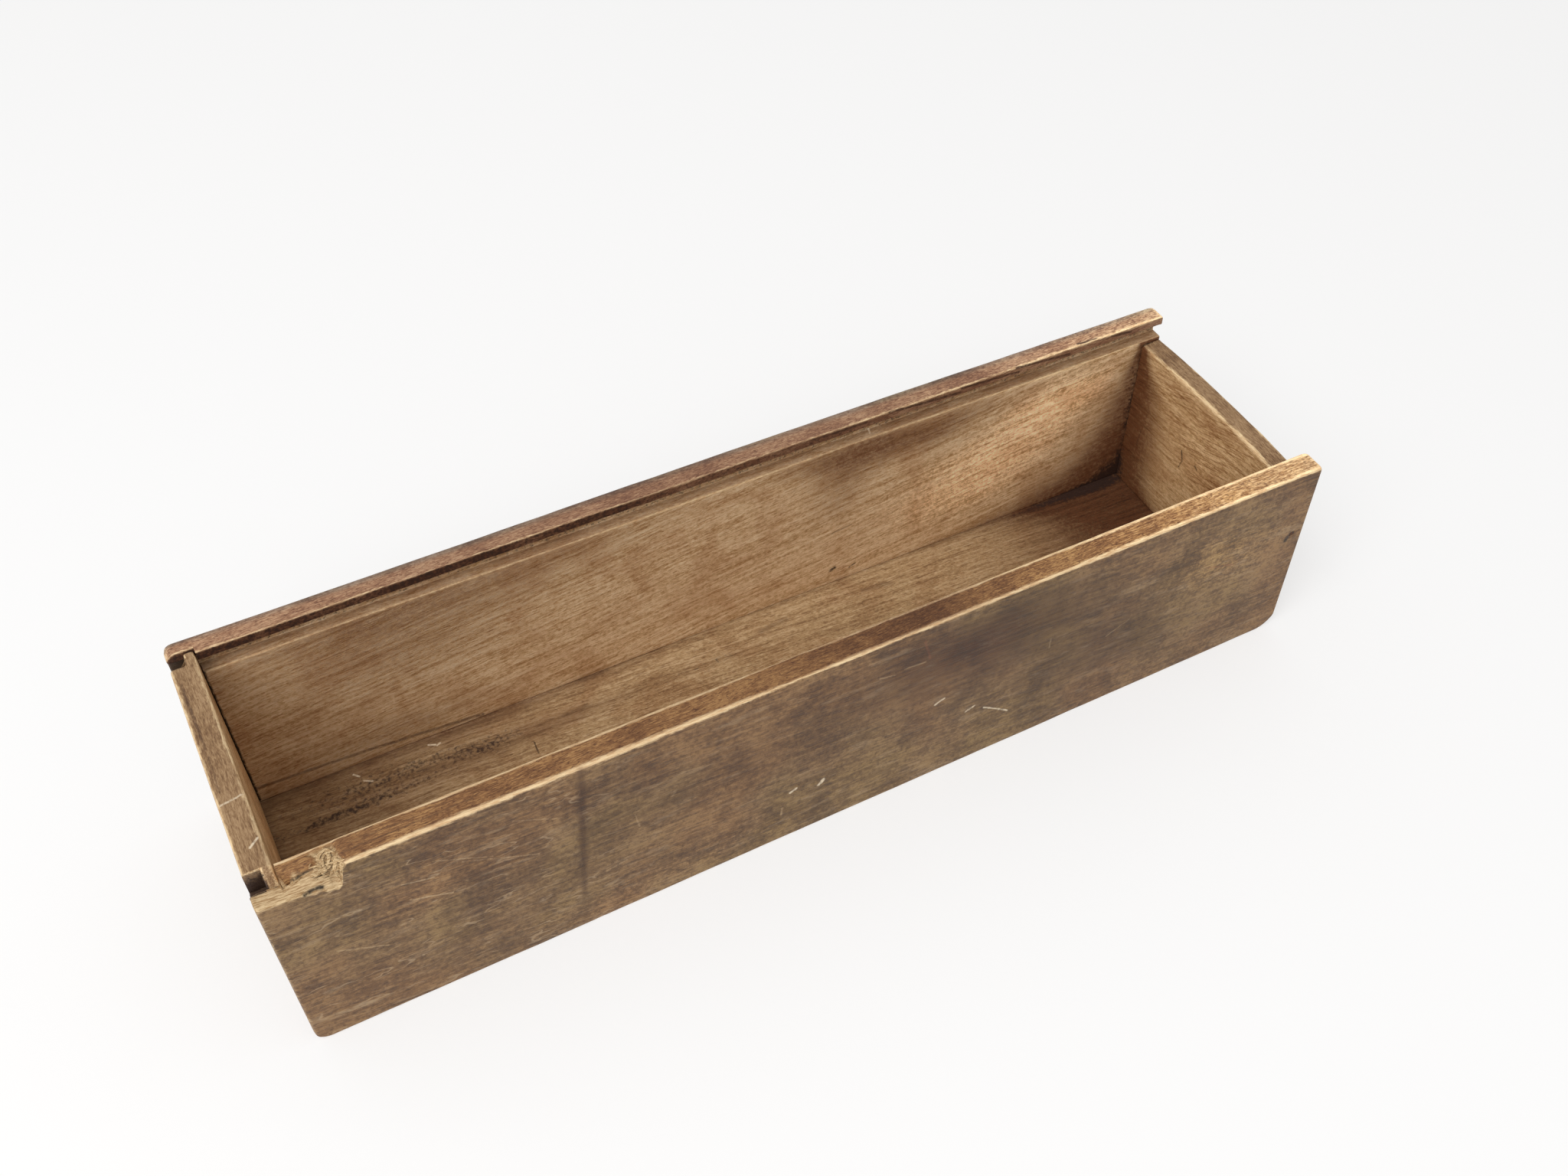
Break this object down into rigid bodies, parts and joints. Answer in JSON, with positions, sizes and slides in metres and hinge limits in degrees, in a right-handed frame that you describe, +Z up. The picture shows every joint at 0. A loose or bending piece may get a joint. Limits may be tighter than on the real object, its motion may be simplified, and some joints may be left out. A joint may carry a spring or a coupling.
{
  "type": "domino storage box",
  "caption": "Long narrow open wooden box with a ploughed groove for a sliding lid, one full-height end board, one low end board and a thin floor in rebates.",
  "frame": {"origin": "centre of the underside, on the surface that the box stands on", "axes": "+X along the box towards its low end, +Y from the front board to the back board, +Z up"},
  "size_m": [0.22, 0.061, 0.0485],
  "materials": {
    "front_wood": "dark brown stain, scratched and worn pale along its edges",
    "back_wood": "bare brown wood inside, reddish brown along the top, worn",
    "end_wood": "bare tan wood, lightly soiled",
    "floor_wood": "bare brown wood with dark stains along its edges",
    "pin_iron": "rusted iron"
  },
  "bodies": {
    "root": {"front_side": "front_wood", "back_side": "back_wood", "left_end": "end_wood", "right_end": "end_wood", "floor_board": "floor_wood", "corner_pins": "pin_iron", "floor_pins": "pin_iron"}
  },
  "joints": []
}
